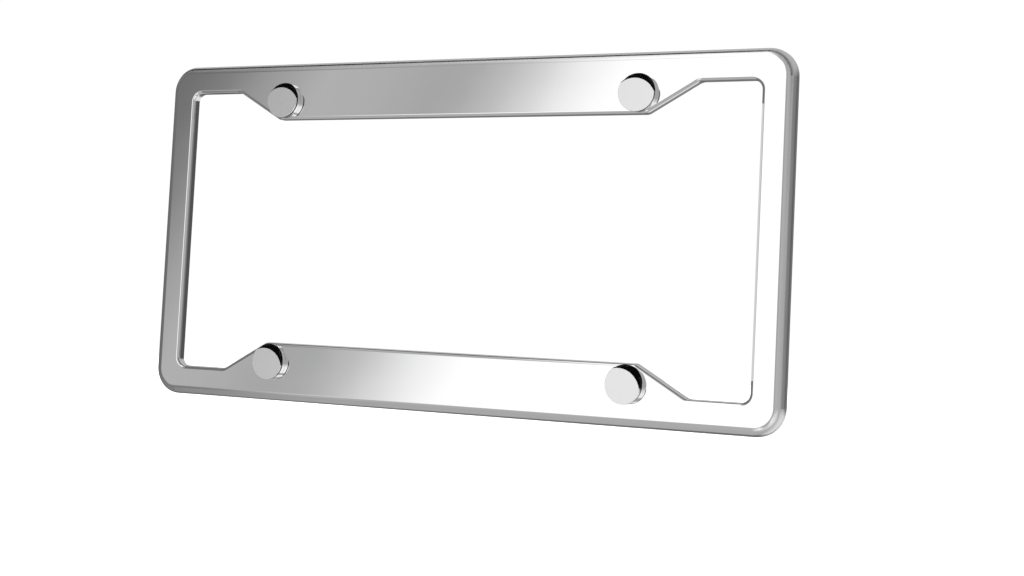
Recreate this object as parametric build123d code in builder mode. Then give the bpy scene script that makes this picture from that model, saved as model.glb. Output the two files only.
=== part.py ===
from build123d import *
from math import atan2, cos, radians, sin, tan
import os

# Number plate frame, pressed from one polished sheet, with four capped screws.
# Millimetres. +X runs along the frame's length, +Z is up, and the polished
# face looks along -Y.
#
# The origin is the centre of the four-screw pattern, in the plane where the
# number plate lies against the rear edge of the inner flange (y = 0).

# ---------------------------------------------------------------- driving sizes
frame_width = 312.0
frame_height = 156.0
sheet = 1.0                    # steel thickness
inner_flange_depth = 4.0       # front face to the seat of the plate
outer_flange_depth = 5.5       # front face to the rear rim
outer_corner_radius = 12.0
outer_bend_radius = 3.8        # outside of the bend round the outline
inner_bend_radius = 1.5        # outside of the bend round the window

wide_bar = 26.4                # height of the top and bottom bars between the steps
pocket_bar = 13.3              # height of the bars at the corners
side_bar = 13.8                # width of the left and right bars
step_inner_x = 92.5            # where each slant leaves the wide bar
step_outer_x = 115.6           # where each slant meets the corner pocket
pocket_corner_radius = 4.0
step_round_radius = 5.0        # rounding at both ends of each slant

screw_pitch_x = 177.8          # 7 in
screw_pitch_z = 120.65         # 4.75 in
frame_hole_diameter = 8.8

# retaining ring under the screw head
ring_bore_diameter = 6.4
ring_base_diameter = 13.9
ring_floor_height = 0.6
ring_rim_inner_diameter = 11.8
ring_rim_height = 1.4
ring_bead_diameter = 14.4      # the cap snaps over this bead

# snap cap, with its mouth against the frame's face
cap_diameter = 16.3
cap_height = 3.4
cap_wall = 0.85
cap_front_thickness = 0.75
cap_head_room_diameter = 11.3  # hollow over the screw head
cap_rim_height = 0.35          # plain rim between the front and the groove
cap_groove_depth = 0.4         # fine groove right behind the front
cap_groove_height = 0.95
cap_snap_diameter = 14.1       # small ridge inside the mouth
cap_relief_width = 2.4         # crescent-shaped chamfer on one side, widest point
cap_relief_reach = 78.0        # degrees from its middle to each tip
cap_relief_slope = 40.0        # degrees away from the flat front

# screw
screw_diameter = 6.0
screw_length = 16.0            # under the head
screw_neck_diameter = 5.4      # plain neck through the ring and the sheet
screw_neck_length = 1.8
screw_head_diameter = 10.6
screw_head_height = 1.7
recess_span = 6.0
recess_arm = 1.3
recess_depth = 1.1

# ---------------------------------------------------------------- levels along Y
face_y = -inner_flange_depth              # polished front face
sheet_back_y = face_y + sheet             # rear of the front sheet
rear_rim_y = face_y + outer_flange_depth  # rear edge of the outer flange

os.makedirs("parts", exist_ok=True)


def window_points(grow):
    """Corner points of the window, moved outwards into the metal by grow."""
    half_w = frame_width / 2 - side_bar + grow
    z_pocket = frame_height / 2 - pocket_bar + grow
    z_wide = frame_height / 2 - wide_bar + grow
    slant = atan2(z_pocket - z_wide, step_outer_x - step_inner_x)
    shift = grow * tan(slant / 2)         # keeps the slant parallel to itself
    xi = step_inner_x - shift
    xo = step_outer_x - shift
    quarter = [(xi, z_wide), (xo, z_pocket), (half_w, z_pocket)]
    top_right = quarter
    bottom_right = [(x, -z) for x, z in reversed(quarter)]
    bottom_left = [(-x, -z) for x, z in quarter]
    top_left = [(-x, z) for x, z in reversed(quarter)]
    return top_right + bottom_right + bottom_left + top_left


def window_face(grow, plane):
    """The window as a flat face with rounded corners, grown by grow."""
    points = window_points(grow)
    side_x = frame_width / 2 - side_bar + grow
    z_wide = frame_height / 2 - wide_bar + grow
    z_pocket = frame_height / 2 - pocket_bar + grow
    slant_x = max(abs(x) for x, z in points if abs(abs(z) - z_pocket) < 0.01
                  and abs(x) < side_x - 1.0)
    with BuildSketch(plane) as outline:
        with BuildLine():
            Polyline(*points, close=True)
        make_face()
        fillet(outline.vertices(Select.ALL).filter_by(
            lambda v: abs(abs(v.X) - side_x) < 0.01),
            pocket_corner_radius + grow)
        fillet(outline.vertices(Select.ALL).filter_by(
            lambda v: abs(abs(v.Y) - z_wide) < 0.01),
            step_round_radius - grow)
        fillet(outline.vertices(Select.ALL).filter_by(
            lambda v: abs(abs(v.Y) - z_pocket) < 0.01
            and abs(abs(v.X) - slant_x) < 0.01),
            step_round_radius + grow)
    return outline.sketch


front_plane = Plane.XZ.offset(-face_y)
sheet_back_plane = Plane.XZ.offset(-sheet_back_y)
seat_plane = Plane.XZ

# ---------------------------------------------------------------- plate frame
window_front = window_face(0.0, front_plane)
window_behind = window_face(sheet, sheet_back_plane)
window_seat = window_face(sheet + 0.4, seat_plane)

# the hollow behind the sheet, between the two folded flanges
with BuildPart() as hollow:
    with BuildSketch(sheet_back_plane):
        RectangleRounded(frame_width - 2 * sheet, frame_height - 2 * sheet,
                         outer_corner_radius - sheet)
        add(window_behind, mode=Mode.SUBTRACT)
    extrude(amount=-(outer_flange_depth))
    hollow_edges = hollow.edges().filter_by(
        lambda e: abs(e.center().Y - sheet_back_y) < 1e-4)
    hollow_rim = hollow_edges.filter_by(
        lambda e: abs(e.center().X) > frame_width / 2 - side_bar + 2.0
        or abs(e.center().Z) > frame_height / 2 - pocket_bar + 2.0)
    hollow_window = [e for e in hollow_edges if e not in hollow_rim]
    fillet(hollow_rim, outer_bend_radius - sheet)
    fillet(hollow_window, inner_bend_radius - sheet)

with BuildPart() as plate_frame:
    # outer block with the window through it
    with BuildSketch(front_plane):
        RectangleRounded(frame_width, frame_height, outer_corner_radius)
        add(window_front, mode=Mode.SUBTRACT)
    extrude(amount=-outer_flange_depth)

    # soft bends round the outline and round the window
    front_edges = plate_frame.edges().filter_by(
        lambda e: abs(e.center().Y - face_y) < 1e-4)
    half_w = frame_width / 2 - side_bar
    half_h = frame_height / 2 - pocket_bar
    rim_edges = front_edges.filter_by(
        lambda e: abs(e.center().X) > half_w + 0.5 or abs(e.center().Z) > half_h + 0.5)
    window_edges = [e for e in front_edges if e not in rim_edges]
    fillet(rim_edges, outer_bend_radius)
    fillet(window_edges, inner_bend_radius)

    # hollow rear side, leaving the folded flanges
    add(hollow.part, mode=Mode.SUBTRACT)

    # the inner flange stops at the plate's seat
    with BuildSketch(seat_plane):
        add(window_seat)
    extrude(amount=-(rear_rim_y + 1.0), mode=Mode.SUBTRACT)

    # four screw holes through the front sheet
    with BuildSketch(Plane.XZ.offset(-face_y + 1.0)):
        with GridLocations(screw_pitch_x, screw_pitch_z, 2, 2):
            Circle(frame_hole_diameter / 2)
    extrude(amount=-(sheet + 2.0), mode=Mode.SUBTRACT)

plate_frame.part.label = "plate_frame"
export_step(plate_frame.part, "parts/plate_frame.step")

# ---------------------------------------------------------------- screws, rings, caps
# each cap was snapped on at its own angle: degrees from +X to the middle of its crescent
relief_angles = {
    "upper_left": 80.0,
    "upper_right": 76.0,
    "lower_left": 65.0,
    "lower_right": 52.0,
}
positions = {
    "upper_left": (-screw_pitch_x / 2, screw_pitch_z / 2),
    "upper_right": (screw_pitch_x / 2, screw_pitch_z / 2),
    "lower_left": (-screw_pitch_x / 2, -screw_pitch_z / 2),
    "lower_right": (screw_pitch_x / 2, -screw_pitch_z / 2),
}

# each piece is turned about the screw's axis: in the section plane, local x is
# the radius and local y runs forwards from the frame's face
for place, (px, pz) in positions.items():
    section = Plane(origin=(px, face_y, pz), x_dir=(1, 0, 0), z_dir=(0, 0, -1))
    turn_axis = Axis((px, face_y, pz), (0, -1, 0))

    # black retaining ring
    with BuildPart() as ring:
        with BuildSketch(section):
            with BuildLine():
                Polyline(
                    (ring_bore_diameter / 2, 0),
                    (ring_base_diameter / 2, 0),
                    (ring_base_diameter / 2, ring_rim_height - 0.65),
                    (ring_bead_diameter / 2, ring_rim_height - 0.45),
                    (ring_bead_diameter / 2, ring_rim_height - 0.3),
                    (ring_base_diameter / 2 - 0.1, ring_rim_height),
                    (ring_rim_inner_diameter / 2, ring_rim_height),
                    (ring_rim_inner_diameter / 2, ring_floor_height),
                    (ring_bore_diameter / 2, ring_floor_height),
                    close=True,
                )
            make_face()
        revolve(axis=turn_axis)
    ring.part.label = "cap_base_" + place
    export_step(ring.part, "parts/cap_base_" + place + ".step")

    # chromed snap cap: a low shell with a flat front and a fine groove behind its rim
    top = cap_height
    outer_r = cap_diameter / 2
    inner_r = outer_r - cap_wall
    groove_start = top - cap_rim_height
    groove_end = groove_start - cap_groove_height
    ceiling = top - cap_front_thickness
    with BuildPart() as cap:
        with BuildSketch(section) as cap_profile:
            with BuildLine():
                Polyline(
                    (0, top),
                    (0, ceiling),
                    (cap_head_room_diameter / 2, ceiling),
                    (inner_r, 1.3),
                    (inner_r, 0.7),
                    (cap_snap_diameter / 2, 0.5),
                    (cap_snap_diameter / 2, 0.3),
                    (inner_r, 0.1),
                    (inner_r, 0),
                    (outer_r - 0.1, 0),
                    (outer_r, 0.1),
                    (outer_r, groove_end),
                    (outer_r - cap_groove_depth, groove_end + 0.35),
                    (outer_r - cap_groove_depth, groove_start - 0.2),
                    (outer_r, groove_start),
                    (outer_r, top),
                    close=True,
                )
            make_face()
            fillet(cap_profile.vertices().filter_by(
                lambda v: abs(v.Y - top) < 1e-4 and abs(v.X - outer_r) < 1e-4), 0.12)
        revolve(axis=turn_axis)

        # crescent-shaped relief on one side, cut with a cone set off centre
        narrow = outer_r - cap_relief_width
        tip = radians(cap_relief_reach)
        offset = (outer_r ** 2 - narrow ** 2) / (2 * (narrow - outer_r * cos(tip)))
        cone_r = narrow + offset
        turned = radians(relief_angles[place])
        cone_x = px - offset * cos(turned)
        cone_z = pz - offset * sin(turned)
        run = 1 / tan(radians(cap_relief_slope))
        with BuildSketch(Plane(origin=(cone_x, face_y, cone_z), x_dir=(1, 0, 0),
                               z_dir=(0, 0, -1))):
            with BuildLine():
                Polyline(
                    (cone_r - 0.5 * run, top + 0.5),
                    (cone_r + 3.0 * run, top - 3.0),
                    (cone_r + 9.0, top - 3.0),
                    (cone_r + 9.0, top + 0.5),
                    close=True,
                )
            make_face()
        revolve(axis=Axis((cone_x, face_y, cone_z), (0, -1, 0)), mode=Mode.SUBTRACT)
    cap.part.label = "screw_cap_" + place
    export_step(cap.part, "parts/screw_cap_" + place + ".step")

    # low pan head screw with a cross recess
    head_floor = ring_floor_height
    head_top = ring_floor_height + screw_head_height
    head_r = screw_head_diameter / 2
    with BuildPart() as screw:
        with BuildSketch(section):
            with BuildLine():
                Polyline(
                    (0, head_top),
                    (0, head_floor - screw_length),
                    (screw_diameter / 2 - 0.8, head_floor - screw_length),
                    (screw_diameter / 2, head_floor - screw_length + 0.8),
                    (screw_diameter / 2, head_floor - screw_neck_length - 0.3),
                    (screw_neck_diameter / 2, head_floor - screw_neck_length),
                    (screw_neck_diameter / 2, head_floor),
                    (head_r, head_floor),
                    (head_r, head_floor + 0.6),
                )
                ThreePointArc(
                    (head_r, head_floor + 0.6),
                    (head_r - 0.5, head_floor + 1.27),
                    (head_r - 1.9, head_top - 0.1),
                )
                Polyline(
                    (head_r - 1.9, head_top - 0.1),
                    (head_r - 3.4, head_top),
                    (0, head_top),
                )
            make_face()
        revolve(axis=turn_axis)
        head_plane = Plane(origin=(px, face_y - head_top - 0.01, pz),
                           x_dir=(1, 0, 0), z_dir=(0, -1, 0))
        with BuildSketch(head_plane):
            Rectangle(recess_span, recess_arm)
            Rectangle(recess_arm, recess_span)
        extrude(amount=-recess_depth, taper=12, mode=Mode.SUBTRACT)
    screw.part.label = "screw_" + place
    export_step(screw.part, "parts/screw_" + place + ".step")
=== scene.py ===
import math

import bmesh
import bpy
from mathutils import Matrix, Vector


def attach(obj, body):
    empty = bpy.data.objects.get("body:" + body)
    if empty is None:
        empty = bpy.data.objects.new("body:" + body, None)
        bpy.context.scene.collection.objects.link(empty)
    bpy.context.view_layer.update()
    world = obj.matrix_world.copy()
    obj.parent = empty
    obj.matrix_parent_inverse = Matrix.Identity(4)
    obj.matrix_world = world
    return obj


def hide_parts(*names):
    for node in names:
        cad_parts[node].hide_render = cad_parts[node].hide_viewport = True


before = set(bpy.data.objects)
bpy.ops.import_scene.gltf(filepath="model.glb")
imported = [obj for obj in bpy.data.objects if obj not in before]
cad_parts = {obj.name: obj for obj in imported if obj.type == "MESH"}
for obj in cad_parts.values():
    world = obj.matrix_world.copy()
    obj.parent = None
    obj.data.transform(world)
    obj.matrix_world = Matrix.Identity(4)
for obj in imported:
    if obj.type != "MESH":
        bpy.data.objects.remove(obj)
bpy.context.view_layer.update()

# ------------------------------------------------------------------ layout, in metres
FACE_Y = -0.004
HALF_W, HALF_H, OUTER_R = 0.156, 0.078, 0.012
OUTER_BEND, INNER_BEND = 0.0038, 0.0015
SCREW_X, SCREW_Z = 0.0889, 0.060325
PLACES = {
    "upper_left": (-SCREW_X, SCREW_Z),
    "upper_right": (SCREW_X, SCREW_Z),
    "lower_left": (-SCREW_X, -SCREW_Z),
    "lower_right": (SCREW_X, -SCREW_Z),
}

scene = bpy.context.scene
scene.view_settings.view_transform = "Standard"
scene.view_settings.look = "None"
scene.view_settings.exposure = 0.0
scene.view_settings.gamma = 1.0


# ------------------------------------------------------------------ node helpers
class Nodes:
    """Short calls that add nodes to one tree and link them."""

    def __init__(self, tree):
        self.tree = tree
        self.tree.nodes.clear()

    def add(self, kind, **props):
        node = self.tree.nodes.new(kind)
        for key, value in props.items():
            setattr(node, key, value)
        return node

    def link(self, a, b):
        self.tree.links.new(a, b)

    def feed(self, socket, value):
        if isinstance(value, bpy.types.NodeSocket):
            self.link(value, socket)
        else:
            socket.default_value = value

    def math(self, op, a, b=None, c=None, clamp=False):
        node = self.add("ShaderNodeMath", operation=op, use_clamp=clamp)
        for i, value in enumerate((a, b, c)):
            if value is not None:
                self.feed(node.inputs[i], value)
        return node.outputs[0]

    def vmath(self, op, a, b=None, scale=None):
        node = self.add("ShaderNodeVectorMath", operation=op)
        self.feed(node.inputs[0], a)
        if b is not None:
            self.feed(node.inputs[1], b)
        if scale is not None:
            self.feed(node.inputs["Scale"], scale)
        return node.outputs["Value"] if op in ("DOT_PRODUCT", "LENGTH") else node.outputs[0]

    def step(self, value, low, high, out_low=0.0, out_high=1.0, smooth=True):
        node = self.add("ShaderNodeMapRange",
                        interpolation_type="SMOOTHSTEP" if smooth else "LINEAR")
        node.clamp = True
        self.feed(node.inputs["Value"], value)
        node.inputs["From Min"].default_value = low
        node.inputs["From Max"].default_value = high
        node.inputs["To Min"].default_value = out_low
        node.inputs["To Max"].default_value = out_high
        return node.outputs["Result"]

    def curve(self, value, low, high, points):
        """A ramp of (position, level) points read at value, between low and high."""
        span = high - low
        position = self.math("DIVIDE", self.math("SUBTRACT", value, low), span, clamp=True)
        ramp = self.add("ShaderNodeValToRGB")
        ramp.color_ramp.interpolation = "LINEAR"
        elements = ramp.color_ramp.elements
        while len(elements) > 1:
            elements.remove(elements[-1])
        first = True
        top = max(level for _, level in points)
        for at, level in points:
            where = min(max((at - low) / span, 0.0), 1.0)
            if first:
                element = elements[0]
                element.position = where
                first = False
            else:
                element = elements.new(where)
            element.color = (level / top, level / top, level / top, 1.0)
        self.link(position, ramp.inputs["Fac"])
        separate = self.add("ShaderNodeSeparateColor")
        self.link(ramp.outputs["Color"], separate.inputs["Color"])
        return self.math("MULTIPLY", separate.outputs[0], top)

    def mix(self, a, b, factor):
        """a where factor is 0, b where it is 1, for plain numbers."""
        node = self.add("ShaderNodeMix", data_type="FLOAT")
        self.feed(node.inputs[0], factor)
        self.feed(node.inputs[2], a)
        self.feed(node.inputs[3], b)
        return node.outputs[0]

    def mix_colour(self, a, b, factor):
        node = self.add("ShaderNodeMix", data_type="RGBA")
        self.feed(node.inputs[0], factor)
        self.feed(node.inputs[6], a)
        self.feed(node.inputs[7], b)
        return node.outputs[2]

    def noise(self, vector, scale, detail=3.0, rough=0.5):
        node = self.add("ShaderNodeTexNoise")
        self.link(vector, node.inputs["Vector"])
        node.inputs["Scale"].default_value = scale
        node.inputs["Detail"].default_value = detail
        node.inputs["Roughness"].default_value = rough
        return node.outputs[0]

    def scaled(self, vector, x, y, z):
        return self.vmath("MULTIPLY", vector, (x, y, z))


# ------------------------------------------------------------------ studio light
# The studio is a set of soft cards round the object, written by direction:
# az 0 is straight in front (-Y), 90 is to the right (+X), el is above the horizon.
world = bpy.data.worlds.new("studio")
scene.world = world
world.use_nodes = True
W = Nodes(world.node_tree)

direction = W.vmath("NORMALIZE", W.add("ShaderNodeTexCoord").outputs["Generated"])
parts = W.add("ShaderNodeSeparateXYZ")
W.link(direction, parts.inputs[0])
dx, dy, dz = parts.outputs
az = W.math("DEGREES", W.math("ARCTAN2", dx, W.math("MULTIPLY", dy, -1.0)))
el = W.math("DEGREES", W.math("ARCSINE", dz))

# the edge of the large front card leans, so az is read along the lean near the horizon
lean = W.math("MULTIPLY", W.math("SUBTRACT", el, 7.6), 0.49)
leant = W.math("SUBTRACT", az, lean)

FACE_CARD = [
    (-60, 0.19), (-50, 0.185), (-41.0, 0.185), (-39.2, 0.197), (-38.4, 0.216), (-37.46, 0.276),
    (-36.47, 0.381), (-35.04, 0.502), (-34.47, 0.543), (-32.45, 0.516), (-30.76, 0.470),
    (-29.74, 0.489), (-28.38, 0.644), (-27.02, 0.895), (-26.34, 1.038), (-25.2, 1.22),
    (-24.0, 1.32), (-12.6, 1.32), (-11.0, 0.78), (-9.5, 0.50), (-5.0, 0.43), (3.0, 0.49),
    (12.0, 0.57), (20, 0.52)]
face = W.curve(leant, -60.0, 20.0, FACE_CARD)
horizon = W.curve(az, -180.0, 180.0, [
    (-180, 0.30), (-160, 0.24), (-140, 0.18), (-85, 0.16), (-75, 0.17), (-60, 0.19), (10, 0.50),
    (66, 0.50), (76, 0.27), (103, 0.24), (128, 0.20), (136, 0.10), (146, 0.10), (152, 0.20),
    (170, 0.22), (180, 0.30)])
near_front = W.math("MULTIPLY", W.step(az, -60, -52), W.step(az, 20, 8))
horizon = W.mix(horizon, face, near_front)

# under the horizon: an even grey, darker behind, with one bright card low in front
below = W.curve(az, -180.0, 180.0, [
    (-180, 0.30), (-165, 0.18), (-130, 0.15), (-117, 0.50), (62, 0.50), (80, 0.85),
    (100, 0.92), (165, 0.92), (180, 0.30)])
low_card = W.math("MULTIPLY",
                  W.math("MULTIPLY", W.step(az, -22.0, -12.0), W.step(az, 44.0, 36.0)),
                  W.math("MULTIPLY", W.step(el, -4.0, -21.0), W.step(el, -46.0, -39.0)))
# a grey strip stands across that card, along a leaning line
across = W.math("ADD", W.math("ADD", az, 12.0), W.math("MULTIPLY", W.math("ADD", el, 8.6), 0.58))
low_card = W.math("MULTIPLY", low_card, W.step(W.math("ABSOLUTE", across), 4.5, 8.0))

# over it: the front card goes on upwards, and an even grey lies behind
upright = W.math("DIVIDE", dx, 0.987, clamp=False)
upright = W.math("MINIMUM", W.math("MAXIMUM", upright, -1.0), 1.0)
upright = W.math("SUBTRACT", W.math("DEGREES", W.math("ARCSINE", upright)), 0.74)
above = W.mix(W.curve(upright, -60.0, 20.0, FACE_CARD), 0.56, W.step(dy, -0.15, 0.05))
shade = W.step(upright, -39.6, -35.6, 0.45, 1.0)
below = W.math("MULTIPLY", below, W.mix(shade, 1.0, W.step(az, -150.0, -165.0)))

light = W.mix(horizon, below, W.step(el, -5.5, -15.0))
light = W.mix(light, 1.25, low_card)
light = W.mix(light, above, W.step(el, 11.0, 25.0))

# a curved black flag high in front, as wide as the crescents on the caps need
half = W.vmath("NORMALIZE", W.vmath("ADD", direction, (0.4639, -0.8834, -0.0665)))
half_parts = W.add("ShaderNodeSeparateXYZ")
W.link(half, half_parts.inputs[0])
tilt = W.math("DEGREES", W.math("ARCCOSINE", W.math("MULTIPLY", half_parts.outputs[1], -1.0)))
clock = W.math("DEGREES", W.math("ARCTAN2", half_parts.outputs[2], half_parts.outputs[0]))
flag_tilt = W.math("MULTIPLY", W.step(tilt, 32.8, 33.8), W.step(tilt, 45.5, 44.5))
flag_clock = W.math("MULTIPLY", W.step(clock, 3.0, 9.0), W.step(clock, 146.0, 140.0))
flag = W.math("MULTIPLY", flag_tilt, flag_clock)
light = W.mix(light, 0.003, flag)

studio = W.add("ShaderNodeBackground")
W.link(light, studio.inputs["Color"])
studio.inputs["Strength"].default_value = 1.0
backdrop = W.add("ShaderNodeBackground")
backdrop.inputs["Color"].default_value = (1.0, 1.0, 1.0, 1.0)
backdrop.inputs["Strength"].default_value = 1.02
seen = W.add("ShaderNodeLightPath")
choose = W.add("ShaderNodeMixShader")
W.link(seen.outputs["Is Camera Ray"], choose.inputs[0])
W.link(studio.outputs[0], choose.inputs[1])
W.link(backdrop.outputs[0], choose.inputs[2])
world_out = W.add("ShaderNodeOutputWorld")
W.link(choose.outputs[0], world_out.inputs["Surface"])


# ------------------------------------------------------------------ materials
def new_material(name):
    material = bpy.data.materials.new(name)
    material.use_nodes = True
    nodes = Nodes(material.node_tree)
    shader = nodes.add("ShaderNodeBsdfPrincipled")
    out = nodes.add("ShaderNodeOutputMaterial")
    nodes.link(shader.outputs[0], out.inputs["Surface"])
    where = nodes.add("ShaderNodeTexCoord").outputs["Object"]
    return material, nodes, shader, where


def bump(nodes, height, strength, distance, normal=None):
    node = nodes.add("ShaderNodeBump")
    node.inputs["Strength"].default_value = strength
    node.inputs["Distance"].default_value = distance
    nodes.link(height, node.inputs["Height"])
    if normal is not None:
        nodes.link(normal, node.inputs["Normal"])
    return node.outputs[0]


def polished_steel():
    """Polished outside, dull mill finish behind, sheared edges."""
    material, n, shader, where = new_material("polished_steel_detail")
    xyz = n.add("ShaderNodeSeparateXYZ")
    n.link(where, xyz.inputs[0])
    x, y, z = xyz.outputs
    ax, az_ = n.math("ABSOLUTE", x), n.math("ABSOLUTE", z)

    # distance inwards from the outline, a rounded rectangle
    qx = n.math("MAXIMUM", n.math("SUBTRACT", ax, HALF_W - OUTER_R), 0.0)
    qz = n.math("MAXIMUM", n.math("SUBTRACT", az_, HALF_H - OUTER_R), 0.0)
    corner = n.math("SQRT", n.math("ADD", n.math("MULTIPLY", qx, qx), n.math("MULTIPLY", qz, qz)))
    straight = n.math("MAXIMUM", n.math("SUBTRACT", ax, HALF_W), n.math("SUBTRACT", az_, HALF_H))
    in_corner = n.math("MULTIPLY", n.math("GREATER_THAN", qx, 0.0), n.math("GREATER_THAN", qz, 0.0))
    outline = n.mix(straight, n.math("SUBTRACT", corner, OUTER_R), in_corner)

    # distance outwards from the window, with its slanted steps
    reach = n.step(ax, 0.0925, 0.1156, 0.0516, 0.0647, smooth=False)
    window = n.math("MAXIMUM", n.math("SUBTRACT", az_, reach), n.math("SUBTRACT", ax, 0.1422))

    # the outer skin lies one bend radius away from the axis of each bend
    depth = n.math("SUBTRACT", y, FACE_Y)

    def skin(inward, bend):
        side = n.math("MAXIMUM", n.math("SUBTRACT", bend, inward), 0.0)
        back = n.math("MAXIMUM", n.math("SUBTRACT", bend, depth), 0.0)
        span = n.math("SQRT", n.math("ADD", n.math("MULTIPLY", side, side),
                                     n.math("MULTIPLY", back, back)))
        return n.step(span, bend - 0.0006, bend - 0.0004)

    polished = n.math("MAXIMUM", skin(n.math("MULTIPLY", outline, -1.0), OUTER_BEND),
                      skin(window, INNER_BEND))

    # polishing lines run along each bar, and turn at the mitre of the corners
    upright = n.step(n.math("SUBTRACT", n.math("SUBTRACT", HALF_W, ax),
                            n.math("SUBTRACT", HALF_H, az_)), 0.001, -0.001)
    along = n.noise(n.scaled(where, 14.0, 500.0, 1500.0), 1.0, 2.0)
    upwards = n.noise(n.scaled(where, 1500.0, 500.0, 14.0), 1.0, 2.0)
    lines = n.mix(along, upwards, upright)
    smear = n.noise(where, 42.0, 4.0, 0.55)
    waves = n.noise(n.scaled(where, 1.0, 1.0, 1.6), 26.0, 1.0)
    grain = n.noise(where, 2600.0, 2.0)
    mill = n.noise(n.scaled(where, 60.0, 900.0, 2400.0), 1.0, 3.0)
    blotch = n.noise(where, 95.0, 4.0, 0.6)

    bright = n.mix_colour((0.785, 0.786, 0.790, 1), (0.815, 0.815, 0.817, 1), smear)
    dull = n.mix_colour((0.50, 0.495, 0.485, 1), (0.64, 0.635, 0.625, 1), n.step(blotch, 0.3, 0.7))
    dull = n.mix_colour(dull, (0.44, 0.435, 0.43, 1), n.step(mill, 0.52, 0.72, 0.0, 0.6))
    n.link(n.mix_colour(dull, bright, polished), shader.inputs["Base Color"])
    shader.inputs["Metallic"].default_value = 1.0

    gloss = n.math("ADD", n.step(smear, 0.35, 0.75, 0.028, 0.055),
                   n.step(lines, 0.45, 0.75, 0.0, 0.02))
    satin = n.math("ADD", n.step(mill, 0.3, 0.7, 0.26, 0.36), n.step(blotch, 0.4, 0.8, 0.0, 0.08))
    # the rolled edge stretched when it was pressed, most of all round the corners, and took
    # a slightly softer polish
    drawn = n.step(n.math("MINIMUM", qx, qz), 0.0, 0.003, 1.0, 1.8)
    rolled = n.math("MULTIPLY", n.step(outline, -0.0033, -0.0024, 0.0, 0.17), drawn)
    gloss = n.math("ADD", gloss, n.math("MULTIPLY", rolled, n.step(smear, 0.2, 0.8, 0.85, 1.15)))
    n.link(n.mix(satin, gloss, polished), shader.inputs["Roughness"])

    # faint pressing waves and polishing lines in front, rolled grain behind
    soft = bump(n, waves, 0.05, 0.0006)
    fine = bump(n, lines, 0.02, 0.00004, soft)
    rear = bump(n, n.math("ADD", mill, n.math("MULTIPLY", grain, 0.4)), 0.22, 0.00012)
    blend = n.add("ShaderNodeMix", data_type="VECTOR")
    n.link(polished, blend.inputs[0])
    n.link(rear, blend.inputs[4])
    n.link(fine, blend.inputs[5])
    n.link(n.vmath("NORMALIZE", blend.outputs[1]), shader.inputs["Normal"])
    return material


def cap_chrome():
    """Bright plating on the side and the crescent, satin front, dull hollow; the fine cut round the side
    is coloured near black as painted shade.
    """
    material, n, shader, where = new_material("cap_chrome_detail")
    xyz = n.add("ShaderNodeSeparateXYZ")
    n.link(where, xyz.inputs[0])
    x, y, z = xyz.outputs
    u = n.math("SUBTRACT", n.math("ABSOLUTE", x), SCREW_X)
    v = n.math("SUBTRACT", n.math("ABSOLUTE", z), SCREW_Z)
    radius = n.math("SQRT", n.math("ADD", n.math("MULTIPLY", u, u), n.math("MULTIPLY", v, v)))
    height = n.math("SUBTRACT", FACE_Y, y)
    slant = n.math("MAXIMUM", n.math("SUBTRACT", radius, 0.00565), 0.0)
    roof = n.math("ADD", height, n.math("MULTIPLY", slant, 0.83))
    hollow = n.math("MULTIPLY", n.step(radius, 0.00742, 0.00736), n.step(roof, 0.0032, 0.003))
    # mask of the fine cut round the side: its near-black colour is painted shade, and it also gets a
    # rougher finish
    groove_painted_shade = n.math("MULTIPLY", n.math("MULTIPLY", n.step(radius, 0.0074, 0.0075),
                                       n.step(radius, 0.00813, 0.00808)),
                    n.math("MULTIPLY", n.step(height, 0.00211, 0.0022), n.step(height, 0.00304, 0.00295)))
    front = n.step(height, 0.00336, 0.00339)
    peel = n.noise(where, 900.0, 2.0)
    smear = n.noise(where, 220.0, 4.0, 0.6)
    turned = n.math("SINE", n.math("MULTIPLY", radius, 52000.0))
    circles = n.noise(n.scaled(where, 1800.0, 1800.0, 1800.0), 1.0, 2.0)

    bright = n.mix_colour((0.86, 0.86, 0.865, 1), (0.89, 0.89, 0.893, 1), smear)
    satin = n.mix_colour((0.855, 0.855, 0.859, 1), (0.88, 0.88, 0.883, 1), n.step(circles, 0.3, 0.7))
    dull = n.mix_colour((0.30, 0.295, 0.285, 1), (0.42, 0.41, 0.40, 1), smear)
    colour = n.mix_colour(n.mix_colour(bright, satin, front), dull, hollow)
    # painted shade: the fine cut round the side is coloured near black
    n.link(n.mix_colour(colour, (0.012, 0.012, 0.012, 1), groove_painted_shade), shader.inputs["Base Color"])
    shader.inputs["Metallic"].default_value = 1.0
    gloss = n.math("ADD", n.step(smear, 0.35, 0.75, 0.03, 0.05),
                   n.math("MULTIPLY", n.step(turned, 0.2, 1.0), 0.008))
    gloss = n.mix(gloss, n.step(circles, 0.3, 0.7, 0.28, 0.31), front)
    worn = n.math("MAXIMUM", hollow, groove_painted_shade)
    n.link(n.mix(gloss, n.step(peel, 0.3, 0.7, 0.35, 0.5), worn), shader.inputs["Roughness"])
    n.link(bump(n, peel, 0.03, 0.00004), shader.inputs["Normal"])
    return material


def ring_black():
    """Black moulded nylon with a fine spark-eroded texture."""
    material, n, shader, where = new_material("ring_black_detail")
    pits = n.noise(where, 5200.0, 3.0, 0.6)
    cloud = n.noise(where, 320.0, 3.0)
    colour = n.mix_colour((0.010, 0.010, 0.011, 1), (0.030, 0.030, 0.031, 1), n.step(pits, 0.35, 0.7))
    n.link(n.mix_colour(colour, (0.040, 0.040, 0.040, 1), n.step(cloud, 0.6, 0.85, 0.0, 0.5)),
           shader.inputs["Base Color"])
    n.link(n.step(cloud, 0.3, 0.7, 0.42, 0.58), shader.inputs["Roughness"])
    shader.inputs["Specular IOR Level"].default_value = 0.4
    n.link(bump(n, pits, 0.35, 0.00006), shader.inputs["Normal"])
    return material


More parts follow.
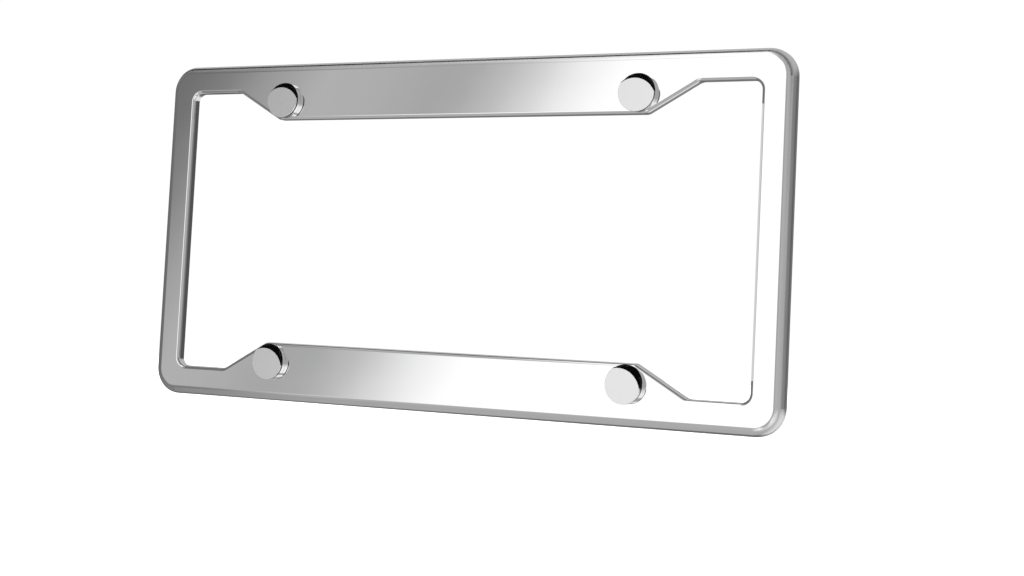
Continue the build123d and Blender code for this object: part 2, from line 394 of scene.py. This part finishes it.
def screw_steel():
    """Zinc plating: a pale grey metal with slightly uneven passivation."""
    material, n, shader, where = new_material("screw_steel_detail")
    cloud = n.noise(where, 260.0, 4.0, 0.6)
    spangle = n.add("ShaderNodeTexVoronoi")
    n.link(where, spangle.inputs["Vector"])
    spangle.inputs["Scale"].default_value = 2600.0
    cells = n.add("ShaderNodeSeparateColor")
    n.link(spangle.outputs["Color"], cells.inputs["Color"])
    cell = cells.outputs[0]
    scratches = n.noise(n.scaled(where, 900.0, 4200.0, 900.0), 1.0, 2.0)
    base = n.mix_colour((0.55, 0.55, 0.545, 1), (0.68, 0.675, 0.655, 1), n.step(cloud, 0.3, 0.7))
    base = n.mix_colour(base, (0.60, 0.60, 0.63, 1), n.step(cell, 0.4, 1.0, 0.0, 0.5))
    n.link(base, shader.inputs["Base Color"])
    shader.inputs["Metallic"].default_value = 1.0
    n.link(n.math("ADD", n.step(cell, 0.0, 1.0, 0.22, 0.32), n.step(scratches, 0.5, 0.8, 0.0, 0.1)),
           shader.inputs["Roughness"])
    n.link(bump(n, n.math("ADD", scratches, n.math("MULTIPLY", cell, 0.5)), 0.12, 0.00005),
           shader.inputs["Normal"])
    return material


FINISH = {
    "polished_steel": polished_steel(),
    "cap_chrome": cap_chrome(),
    "ring_black": ring_black(),
    "screw_steel": screw_steel(),
}


def finish_node(name, slot):
    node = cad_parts[name]
    for i in range(len(node.material_slots)):
        node.material_slots[i].material = FINISH[slot]
    if not node.material_slots:
        node.data.materials.append(FINISH[slot])


finish_node("plate_frame", "polished_steel")
for place in PLACES:
    finish_node("cap_base_" + place, "ring_black")
    finish_node("screw_cap_" + place, "cap_chrome")


# ------------------------------------------------------------------ screws with real threads
HEAD_FLOOR = FACE_Y - 0.0006         # underside of the head, against the ring's floor
HEAD_TOP = HEAD_FLOOR - 0.0017
TIP = HEAD_FLOOR + 0.016
NECK_END = HEAD_FLOOR + 0.0018
MAJOR_R, MINOR_R, NECK_R, PITCH = 0.00298, 0.00248, 0.0027, 0.001
AROUND = 48


def thread_radius(y, turn):
    """Radius of the thread's surface at depth y and at turn, a share of one revolution."""
    phase = ((y - NECK_END) / PITCH - turn) % 1.0
    if phase < 0.14 or phase > 0.86:
        share = 1.0
    elif 0.40 < phase < 0.60:
        share = 0.0
    elif phase <= 0.40:
        share = 1.0 - (phase - 0.14) / 0.26
    else:
        share = (phase - 0.60) / 0.26
    full = MINOR_R + (MAJOR_R - MINOR_R) * share
    start = min(max((y - NECK_END) / (1.2 * PITCH), 0.0), 1.0)
    run_out = NECK_R - 0.0002 + (full - NECK_R + 0.0002) * start
    chamfer = MAJOR_R - 0.0008 + (TIP - y)
    return min(run_out, chamfer)


def ring_loop(bm, y, radius_at):
    loop = []
    for i in range(AROUND):
        a = 2.0 * math.pi * i / AROUND
        r = radius_at(i / AROUND)
        loop.append(bm.verts.new((r * math.cos(a), y, r * math.sin(a))))
    return loop


def bridge(bm, first, second):
    for i in range(AROUND):
        j = (i + 1) % AROUND
        bm.faces.new((first[i], first[j], second[j], second[i]))


def screw_mesh():
    """A pan head screw with a cross recess and an M6 thread, about the Y axis."""
    bm = bmesh.new()
    head_r = 0.0053
    profile = [(0.0024, HEAD_TOP), (head_r - 0.0019, HEAD_TOP + 0.00012)]
    for k in range(1, 9):                       # rounded shoulder of the pan head
        a = math.radians(90.0 * k / 8)
        profile.append((head_r - 0.0019 + 0.0019 * math.sin(a),
                        HEAD_TOP + 0.00012 + 0.00098 * (1 - math.cos(a))))
    profile += [(head_r, HEAD_FLOOR - 0.00012), (head_r - 0.00012, HEAD_FLOOR),
                (NECK_R + 0.00025, HEAD_FLOOR), (NECK_R, HEAD_FLOOR + 0.00025),
                (NECK_R, NECK_END - 0.0001)]
    loops = [ring_loop(bm, y, lambda t, r=r: r) for r, y in profile]
    steps = int(round((TIP - NECK_END) / PITCH * 14))
    for k in range(steps + 1):
        y = NECK_END + (TIP - NECK_END) * k / steps
        loops.append(ring_loop(bm, y, lambda t, y=y: thread_radius(y, t)))
    for first, second in zip(loops, loops[1:]):
        bridge(bm, first, second)
    for loop in (loops[0], loops[-1]):
        centre = bm.verts.new((0.0, loop[0].co.y, 0.0))
        for i in range(AROUND):
            bm.faces.new((loop[i], loop[(i + 1) % AROUND], centre))
    bmesh.ops.recalc_face_normals(bm, faces=bm.faces)

    body = bpy.data.meshes.new("screw_body")
    bm.to_mesh(body)
    bm.free()

    # cross recess, cut with a tapered cross
    bm = bmesh.new()
    wide, arm, depth = 0.0030, 0.00065, 0.0011

    def cross(y, shrink):
        w, a = wide - shrink, arm - shrink * 0.5
        outline = [(w, -a), (w, a), (a, a), (a, w), (-a, w), (-a, a),
                   (-w, a), (-w, -a), (-a, -a), (-a, -w), (a, -w), (a, -a)]
        return [bm.verts.new((px, y, pz)) for px, pz in outline]

    top = cross(HEAD_TOP - 0.0003, 0.0)
    bottom = cross(HEAD_TOP + depth, 0.00045)
    for i in range(12):
        j = (i + 1) % 12
        bm.faces.new((top[i], top[j], bottom[j], bottom[i]))
    bm.faces.new(top)
    bm.faces.new(list(reversed(bottom)))
    bmesh.ops.recalc_face_normals(bm, faces=bm.faces)
    cutter_mesh = bpy.data.meshes.new("recess_cutter")
    bm.to_mesh(cutter_mesh)
    bm.free()

    blank = bpy.data.objects.new("screw_blank", body)
    cutter = bpy.data.objects.new("recess_cutter", cutter_mesh)
    scene.collection.objects.link(blank)
    scene.collection.objects.link(cutter)
    cut = blank.modifiers.new("recess", "BOOLEAN")
    cut.operation = "DIFFERENCE"
    cut.solver = "EXACT"
    cut.object = cutter
    depsgraph = bpy.context.evaluated_depsgraph_get()
    result = bpy.data.meshes.new_from_object(blank.evaluated_get(depsgraph))
    bpy.data.objects.remove(blank)
    bpy.data.objects.remove(cutter)
    bpy.data.meshes.remove(body)
    bpy.data.meshes.remove(cutter_mesh)
    result.materials.clear()
    result.materials.append(FINISH["screw_steel"])
    return result


pattern = screw_mesh()
for place, (px, pz) in PLACES.items():
    mesh = pattern.copy()
    # each screw stopped at its own angle when it was tightened
    spin = {"upper_left": 17.0, "upper_right": 64.0, "lower_left": 41.0, "lower_right": 5.0}[place]
    mesh.transform(Matrix.Translation((px, 0.0, pz)) @ Matrix.Rotation(math.radians(spin), 4, "Y"))
    mesh.polygons.foreach_set("use_smooth", [True] * len(mesh.polygons))
    piece = bpy.data.objects.new("threaded_screw_" + place, mesh)
    scene.collection.objects.link(piece)
    mesh.set_sharp_from_angle(angle=math.radians(32.0))
    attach(piece, "root")
    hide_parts("screw_" + place)

# ------------------------------------------------------------------ floor, light, camera
bpy.ops.mesh.primitive_circle_add(vertices=96, radius=14.0, fill_type="NGON", location=(0, 0, -0.42))
floor = bpy.context.object
floor.name = "studio_floor"
floor_material, F, floor_shader, floor_where = new_material("pale_floor")
tone = F.noise(floor_where, 3.0, 3.0)
F.link(F.mix_colour((0.93, 0.93, 0.93, 1), (0.96, 0.96, 0.96, 1), tone), floor_shader.inputs["Base Color"])
floor_shader.inputs["Roughness"].default_value = 0.9
floor_shader.inputs["Specular IOR Level"].default_value = 0.1
floor_shader.inputs["Emission Color"].default_value = (1.0, 1.0, 1.0, 1.0)
floor_shader.inputs["Emission Strength"].default_value = 0.62
floor.data.materials.append(floor_material)
floor.visible_glossy = False

lamp_data = bpy.data.lights.new("soft_overhead", "SUN")
lamp_data.angle = math.radians(40.0)
lamp_data.energy = 1.5
lamp = bpy.data.objects.new("soft_overhead", lamp_data)
lamp.location = (0.15, -0.25, 1.5)
scene.collection.objects.link(lamp)
lamp.rotation_euler = (Vector((0, 0, 0)) - lamp.location).to_track_quat("-Z", "Y").to_euler()
lamp.visible_glossy = False

# a small reflector stands in the window and lightens the right bar's inner edge
strip_data = bpy.data.lights.new("window_reflector", "AREA")
strip_data.shape = "RECTANGLE"
strip_data.size = 0.020
strip_data.size_y = 0.112
strip_data.energy = 0.0042
strip = bpy.data.objects.new("window_reflector", strip_data)
scene.collection.objects.link(strip)
facing = Matrix(((0.0, 0.0, -1.0), (-1.0, 0.0, 0.0), (0.0, 1.0, 0.0))).to_4x4()
facing.translation = Vector((0.1365, -0.002, 0.0))
strip.matrix_world = facing
strip.visible_camera = False

right = Vector((0.8857738, 0.46148, 0.0494062))
up = Vector((-0.0129345, -0.0818652, 0.9965595))
forward = Vector((-0.4639369, 0.8833653, 0.0665451))
camera_data = bpy.data.cameras.new("photo_camera")
camera_data.sensor_width = 36.0
camera_data.lens = 59.591
camera_data.shift_y = -0.0703125
camera_data.clip_start = 0.01
camera_data.clip_end = 60.0
camera = bpy.data.objects.new("photo_camera", camera_data)
scene.collection.objects.link(camera)
pose = Matrix((right, up, -forward)).transposed().to_4x4()
pose.translation = Vector((0.36928, -0.6458, -0.04003))
camera.matrix_world = pose
scene.camera = camera

bpy.context.view_layer.update()
